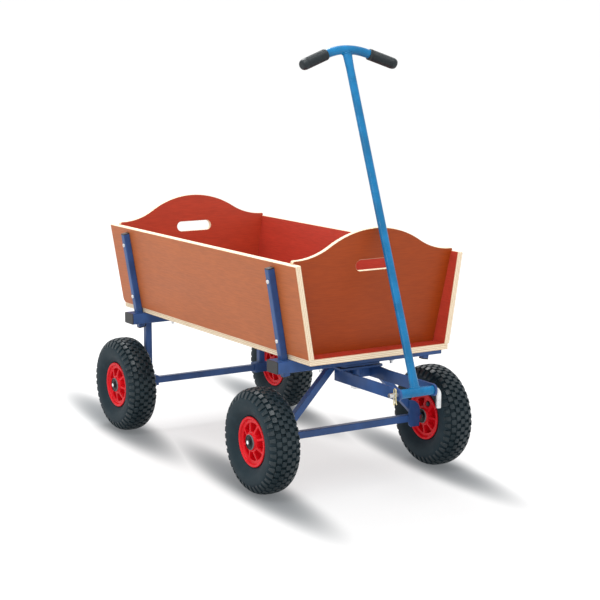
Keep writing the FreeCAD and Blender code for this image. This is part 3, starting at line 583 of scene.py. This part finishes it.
def rim_mesh():
    """The whole rim; the valve's hole is on the face towards -Y."""
    lip = [(RIM_R - 0.0045, 0.018), (RIM_R - 0.0045, 0.0265), (RIM_R - 0.0005, 0.0272),
           (RIM_R, 0.0285), (RIM_R - 0.0004, 0.0298), (RIM_R - 0.0016, 0.0307),
           (RIM_R - 0.0034, RIM_HALF), (RIM_R - 0.0052, 0.0306), (RIM_R - 0.0066, 0.0296),
           (RIM_R - 0.0075, 0.0280), (RIM_R - 0.0079, 0.0258), (RIM_R - 0.0090, 0.0246),
           (RIM_R - 0.0110, 0.0242)]
    face = [FACE_R - FACE_SPAN * k / FACE_ROWS for k in range(FACE_ROWS + 1)]
    rows = []
    for k in range(RIM_STEPS):
        angle = 2 * math.pi * k / RIM_STEPS
        ring = []
        for sign in (1, -1):
            half = list(lip)
            for r in face:
                level = FACE_LEVEL + FACE_RISE * smooth_step((FACE_R - r) / FACE_SPAN)
                half.append((r, level - POCKET_DEEP * pocket_depth(r, angle, sign < 0)))
            half += HUB_SEAT
            ring += half if sign > 0 else [(r, -w) for r, w in reversed(half)]
        rows.append([(r * math.cos(angle), w, r * math.sin(angle)) for r, w in ring])
    mesh = mesh_from_rows("ribbed_rim", rows, close_ring=True)
    mesh.set_sharp_from_angle(angle=math.radians(50))
    mesh.materials.append(rim_red)
    return mesh


rim = rim_mesh()
RIM_TURN = {"front_left": -0.754, "front_right": 0.45, "rear_left": 0.9, "rear_right": 0.1}
for wheel in WHEELS:
    place("ribbed_rim_" + wheel, rim, "wheel_" + wheel, rim_red, centre[wheel],
          replaces=["rim_" + wheel], turn=RIM_TURN[wheel], swap=wheel.endswith("right"))
print("rim faces:", len(rim.polygons))

# %% [markdown]
# ## Hubs and valves
# A wheel turns on two black plastic bushes, whose flanges show as a black disc with a thin pale ring
# of painted highlight round its rim. The end of the axle carries a small push cap: a black skirt
# round a bright domed middle. The valve is a rubber grommet in the round hole of the rim, with a
# short stem and cap standing out of it.

# %% Hub and valve meshes
def ringed(name, inner, outer, at, centre_colour, ring_colour_or_painted_highlight, **constants):
    """A finish that changes colour between two radii about an axle, and the mask it uses."""
    finish = Finish(name, IOR=1.5, **constants)
    east = finish.dot(finish.place, (1, 0, 0)) - at[0]
    up = finish.dot(finish.place, (0, 0, 1)) - at[2]
    radius = (east * east + up * up) ** 0.5
    mask = radius.ramp(inner, outer)
    skin = finish.noise(900.0, detail=2.0)
    finish.feed("Base Color", finish.mix(centre_colour, ring_colour_or_painted_highlight, mask))
    finish.feed("Roughness", 0.3 + 0.15 * skin + 0.1 * mask)
    finish.bump(skin, 0.00004)
    return finish, mask


# The pale grey ring between these two radii is a painted highlight round the rim of the flange.
hub_finish_with_painted_highlight = ringed("hub_plastic_with_painted_highlight", 0.0177, 0.0181, (0, 0, 0), display("0c1113"),
                    display("6e7678"), Specular_IOR_Level=0.2)[0].material
for end in ("front", "rear"):
    low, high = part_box(end + "_axle_caps")
    middle = [(a + b) / 2 for a, b in zip(low, high)]
    cap_finish, skirt = ringed("axle_cap_" + end, 0.0044, 0.0050, middle,
                               (0.86, 0.87, 0.88, 1), display("1b1c1f"))
    cap_finish.feed("Metallic", 1 - skirt)
    dress(end + "_axle_caps", cap_finish.material)


def hub_mesh():
    """Both bushes of a wheel, joined by a thin sleeve."""
    flange = [(0.0064, 0.0356), (0.0070, 0.0359), (0.0106, 0.0360), (0.0114, 0.0353),
              (0.0164, 0.0351), (0.0170, 0.0357), (0.0178, 0.0360), (0.0187, 0.0355),
              (0.0190, 0.0345), (0.0190, 0.0331), (0.0136, 0.0331)]
    ring = flange + [(r, -w) for r, w in reversed(flange)]
    mesh = mesh_from_rows("hub_bushes", lathe(ring, 96), close_ring=True)
    mesh.set_sharp_from_angle(angle=math.radians(45))
    mesh.materials.append(hub_finish_with_painted_highlight)
    return mesh


def valve_mesh():
    """A grommet that fills the round hole, and the stem with its screwed cap out of it."""
    outline = [(0.0, -0.0130), (0.0081, -0.0130), (0.0081, -0.0214), (0.0072, -0.0228),
               (0.0062, -0.0231), (0.0058, -0.0236), (0.0058, -0.0262), (0.0052, -0.0272),
               (0.0030, -0.0276), (0.0, -0.0276)]
    mesh = mesh_from_rows("valve_stem", lathe(outline, 32), close_ring=False)
    at = math.pi / POCKETS
    mesh.transform(Matrix.Translation((VALVE_R * math.cos(at), 0, VALVE_R * math.sin(at))))
    mesh.set_sharp_from_angle(angle=math.radians(40))
    mesh.materials.append(tread_rubber)
    return mesh


hub = hub_mesh()
valve = valve_mesh()
for wheel in WHEELS:
    place("flanged_bushes_" + wheel, hub, "wheel_" + wheel, hub_finish_with_painted_highlight,
          centre[wheel], replaces=["hub_bushes_" + wheel])
    place("valve_" + wheel, valve, "wheel_" + wheel, tread_rubber, centre[wheel],
          turn=RIM_TURN[wheel], swap=wheel.endswith("right"))
print("hub faces:", len(hub.polygons), "valve faces:", len(valve.polygons))

# %% [markdown]
# ## Grips
# Each grip is a rubber sleeve on the arched bar, closed and rounded at its end, with fine rings
# moulded round it. The sleeve is swept along the same arc as the bar, which is worked out from the
# handle's hinge, its lean and length, and the bend of the bar: the arc lies in the plane of the handle.

# %% Grip mesh
HANDLE_LEAN = math.radians(20.8)
HANDLE_LONG = 0.843
BEND_HALF = 0.060
BEND_ANGLE = math.radians(20.5)
BEND_RADIUS = BEND_HALF / math.sin(BEND_ANGLE)
GRIP_FROM, GRIP_TO = 0.062, 0.136
GRIP_RINGS, GRIP_STEPS = 19, 40
GRIP_OUT, GRIP_GROOVE = 0.0140, 0.0129

hinge = Vector(joints["handle_lower"]["pos_m"])
handle_up = Vector((-math.sin(HANDLE_LEAN), 0, math.cos(HANDLE_LEAN)))
handle_front = Vector((math.cos(HANDLE_LEAN), 0, math.sin(HANDLE_LEAN)))
bar_middle = hinge + handle_up * HANDLE_LONG


def on_bar(y):
    """The middle of the handlebar at a width y, and its upward normal in the handle's plane."""
    far = abs(y)
    angle = math.asin(min(far, BEND_HALF) / BEND_RADIUS)
    down = BEND_RADIUS * (1 - math.cos(angle)) + max(0.0, far - BEND_HALF) * math.tan(BEND_ANGLE)
    middle = bar_middle - handle_up * down + Vector((0, y, 0))
    out = handle_up * math.cos(angle) + Vector((0, math.copysign(math.sin(angle), y), 0))
    return middle, out


def grip_rows(sign):
    """Rings of points along one grip, from its open end to the middle of its closed one."""
    stations = [(GRIP_FROM, 0.0113), (GRIP_FROM, 0.0128), (GRIP_FROM + 0.0006, 0.0138),
                (GRIP_FROM + 0.002, 0.0141)]
    first, last = GRIP_FROM + 0.006, GRIP_TO - 0.012
    gap = (last - first) / GRIP_RINGS
    for k in range(GRIP_RINGS):
        y = first + (last - first) * k / GRIP_RINGS
        stations += [(y, GRIP_OUT), (y + gap * 0.22, GRIP_GROOVE), (y + gap * 0.44, GRIP_GROOVE),
                     (y + gap * 0.66, GRIP_OUT)]
    stations += [(last, GRIP_OUT)]
    for k in range(1, 7):
        angle = math.pi / 2 * k / 6
        stations.append((last + 0.012 * math.sin(angle), 0.008 + 0.006 * math.cos(angle)))
    stations += [(GRIP_TO, 0.004), (GRIP_TO, 0.0)]
    rows = []
    for y, radius in stations:
        middle, out = on_bar(sign * y)
        ring = []
        for k in range(GRIP_STEPS):
            angle = 2 * math.pi * k / GRIP_STEPS
            ring.append(middle + (out * math.cos(angle) + handle_front * math.sin(angle)) * radius)
        rows.append([tuple(p) for p in ring])
    return rows


for side, sign in (("left", 1), ("right", -1)):
    mesh = mesh_from_rows("ribbed_grip_" + side, grip_rows(sign), close_rows=False)
    bm = bmesh.new()
    bm.from_mesh(mesh)
    bmesh.ops.remove_doubles(bm, verts=bm.verts, dist=0.00001)
    bmesh.ops.recalc_face_normals(bm, faces=bm.faces)
    bm.to_mesh(mesh)
    bm.free()
    mesh.shade_smooth()
    place("ribbed_grip_" + side, mesh, "pull_handle", grip_rubber,
          replaces=["grip_" + side])

# %% [markdown]
# ## Weld beads
# Where one steel tube meets another there is a bead of weld under the paint. A bead is a thin round
# roll with small ripples where the welder paused, so each one is a tube of slightly uneven radius
# swept along the joint line.

# %% Weld beads
BEAD_GAP, BEAD_STEPS = 0.0011, 10
TUBE_DEEP, TUBE_WIDE, ROUND_R = 0.0070, 0.0135, 0.011
SQUARE_HALF = 0.009
STRUT_FOOT, STRUT_HEAD, AXLE_TOP = 0.200, 0.058, 0.139
GUSSET_AT, GUSSET_AHEAD, GUSSET_LOW, GUSSET_HIGH = 0.172, 0.0092, 0.1215, 0.1385


def evenly(points, gap):
    """Points this far apart along a line through the given ones."""
    found, left = [Vector(points[0])], gap
    for start, end in zip(points, points[1:]):
        start, end = Vector(start), Vector(end)
        length = (end - start).length
        at = left
        while at <= length:
            found.append(start.lerp(end, at / length))
            at += gap
        left = at - length
    return found


def weld(name, points, body, finish, radius=0.0021, closed=False):
    """A bead along a line of points, with its tips drawn thin when the line is open."""
    line = evenly(points, BEAD_GAP)
    count = len(line)
    rows = []
    side = None
    for k, point in enumerate(line):
        if closed:
            tangent = (line[(k + 1) % count] - line[k - 1]).normalized()
        else:
            tangent = (line[min(k + 1, count - 1)] - line[max(k - 1, 0)]).normalized()
        side = side or tangent.orthogonal()
        side = (side - tangent * side.dot(tangent)).normalized()
        other = tangent.cross(side)
        swell = radius * (1 + 0.14 * math.sin(k * 2.1) + 0.06 * math.sin(k * 0.7))
        if not closed and k in (0, count - 1):
            swell *= 0.3
        turns = (2 * math.pi * i / BEAD_STEPS for i in range(BEAD_STEPS))
        rows.append([tuple(point + (side * math.cos(a) + other * math.sin(a)) * swell)
                     for a in turns])
    mesh = mesh_from_rows(name, rows, close_rows=closed)
    place(name, mesh, body, finish)


def rectangle(x0, x1, y0, y1, z):
    """A closed path round a level rectangle."""
    return [(x0, y0, z), (x1, y0, z), (x1, y1, z), (x0, y1, z), (x0, y0, z)]


def saddle(middle, away, drop):
    """The line where the handle's oval tube meets a round bar that runs along Y."""
    points = []
    for k in range(97):
        angle = 2 * math.pi * k / 96
        y, f = TUBE_WIDE * math.cos(angle), TUBE_DEEP * math.sin(angle)
        height = math.sqrt(ROUND_R ** 2 - f ** 2) + drop(y)
        points.append(middle + away * height + handle_front * f + Vector((0, y, 0)))
    return points


def bar_drop(y):
    """How far the arched bar has come down at a width y."""
    return BEND_RADIUS - math.sqrt(BEND_RADIUS ** 2 - y ** 2)


weld("weld_handle_foot", saddle(hinge, handle_up, lambda y: 0.0),
     "pull_handle", handle_blue, closed=True)
weld("weld_handle_neck", saddle(bar_middle, -handle_up, bar_drop),
     "pull_handle", handle_blue, closed=True)
x_axle = centre["front_left"][0]
plate_low, plate_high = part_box("lower_turntable_plate")
strut_line = Vector((0, STRUT_HEAD - STRUT_FOOT, plate_low[2] - AXLE_TOP))
for side, sign in (("left", 1), ("right", -1)):
    low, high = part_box("rear_axle_leg_" + side)
    ends = sorted((low[1], high[1]))
    for place_name, z in (("top", high[2]), ("foot", low[2])):
        weld("weld_leg_" + place_name + "_" + side, rectangle(low[0], high[0], *ends, z),
             "box_and_frame", frame_blue, closed=True)
    reach = SQUARE_HALF / abs(strut_line.z / strut_line.length)
    foot = sorted((sign * (STRUT_FOOT - reach), sign * (STRUT_FOOT + reach)))
    weld("weld_strut_foot_" + side,
         rectangle(x_axle - SQUARE_HALF, x_axle + SQUARE_HALF, *foot, AXLE_TOP),
         "front_axle", frame_blue, closed=True)
    low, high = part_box("fork_arm_" + side)
    outer = high[1] if sign > 0 else low[1]
    weld("weld_fork_arm_" + side,
         [(max(low[0], plate_low[0]), outer, plate_low[2]),
          (min(high[0], plate_high[0]), outer, plate_low[2])],
         "front_axle", frame_blue)
    corner = (x_axle + GUSSET_AHEAD, sign * GUSSET_AT)
    weld("weld_gusset_" + side, [(*corner, GUSSET_LOW), (*corner, GUSSET_HIGH)],
         "front_axle", frame_blue, radius=0.0018)

# %% [markdown]
# ## Floor and light
# A white sweep runs back and up behind the wagon. Four soft bands of painted shadow are laid in its
# colour and glow, one along each wheel's track, so the wheels stand firmly on it. A wide lamp hangs
# over the far end and a smaller one over the near corner, a tall strip lights the long side, and a
# weak lamp opens the front.

# %% Sweep and lights
SWEEP_BACK, SWEEP_SIDE = Vector((-0.8486, 0.529, 0)), Vector((0.529, 0.8486, 0))
SWEEP_FLAT, SWEEP_ROUND, SWEEP_TOP, SWEEP_WIDE = 7.0, 2.5, 8.0, 9.0
# The BAND values set the turn, shift, length and width of the painted shadow under each wheel.
BAND_TURN, BAND_SHIFT, BAND_LONG, BAND_WIDE = 0.12, -0.06, 0.62, 0.10
LAMPS = (
    # name, place, aim, width, power, height of a strip
    ("overhead", (-1.9, 0.4, 3.5), (0, 0, 0), 1.8, 120, None),
    ("side_strip", (0.9, -4.4, 1.7), (0.3, 0, 0.5), 0.3, 18, 2.0),
    ("near_corner", (1.3, -0.8, 3.3), (0.4, -0.25, 0.2), 1.8, 52, None),
    ("front", (4.6, 0.6, 1.8), (0.3, 0, 0.5), 2.0, 8, None),
)


def studio_sweep():
    """A flat floor that turns up into a wall behind the wagon."""
    profile = [(-SWEEP_FLAT + 0.5 * k, 0.0) for k in range(29)]
    for k in range(1, 13):
        angle = math.pi / 2 * k / 12
        profile.append((SWEEP_FLAT + SWEEP_ROUND * math.sin(angle),
                        SWEEP_ROUND - SWEEP_ROUND * math.cos(angle)))
    profile.append((SWEEP_FLAT + SWEEP_ROUND, SWEEP_TOP))
    rows = []
    for distance, height in profile:
        rows.append([tuple(SWEEP_BACK * distance + SWEEP_SIDE * (SWEEP_WIDE * k / 2)
                           + Vector((0, 0, height))) for k in range(-2, 3)])
    return mesh_from_rows("studio_sweep", rows, close_rows=False, close_ring=False)


def painted_wheel_shadow(finish):
    """Soft bands of painted shadow along the wheels' tracks: 0 on the open floor, 1 under a wheel."""
    ahead = Vector((math.cos(BAND_TURN), -math.sin(BAND_TURN), 0))
    aside = Vector((math.sin(BAND_TURN), math.cos(BAND_TURN), 0))
    x, y = finish.dot(finish.place, ahead), finish.dot(finish.place, aside)
    shade = None
    for wheel in WHEELS:
        along = (x - (centre[wheel].dot(ahead) + BAND_SHIFT)) / BAND_LONG
        across = (y - centre[wheel].dot(aside)) / BAND_WIDE
        band = (along * along + across * across).ramp(0.0, 1.0, 1.0, 0.0) ** 1.6
        shade = band if shade is None else shade.math("MAXIMUM", band)
    return shade


def soft_light(name, location, target, size, power, height):
    """A round lamp, or a strip when it has a height."""
    data = bpy.data.lights.new(name, "AREA")
    data.shape = "RECTANGLE" if height else "DISK"
    data.size = size
    if height:
        data.size_y = height
    data.energy = power
    light = bpy.data.objects.new(name, data)
    light.location = location
    aim = Vector(target) - Vector(location)
    light.rotation_euler = aim.to_track_quat("-Z", "Y").to_euler()
    bpy.context.scene.collection.objects.link(light)


paper = Finish("white_paper", Specular_IOR_Level=0.1, Emission_Strength=1.0)
fibre = paper.noise(180.0)
shade = painted_wheel_shadow(paper)
open_floor = paper.mix(grey(0.28), grey(0.32), fibre)
# Painted shadow: under the wheels the paper's colour and glow turn to a dark bluish grey.
paper.feed("Base Color", paper.mix(open_floor, grey(0.12, (0.95, 1.0, 1.04)), shade))
paper.feed("Roughness", 0.85 + 0.1 * fibre)
away = paper.add("ShaderNodeVectorMath", {"operation": "LENGTH"}, paper.place, output="Value")
glow = paper.mix(grey(0.60), grey(0.7), away.ramp(0.9, 2.6))
paper.feed("Emission Color", paper.mix(glow, grey(0.16, (0.95, 1.0, 1.04)), shade))
sweep = bpy.data.objects.new("studio_sweep", studio_sweep())
sweep.data.materials.append(paper.material)
bpy.context.scene.collection.objects.link(sweep)

for lamp in LAMPS:
    soft_light(*lamp)
world = bpy.data.worlds.new("studio_air")
bpy.context.scene.world = world
world.use_nodes = True
air = world.node_tree.nodes["Background"]
air.inputs["Color"].default_value = (1, 1, 1, 1)
air.inputs["Strength"].default_value = 1.0
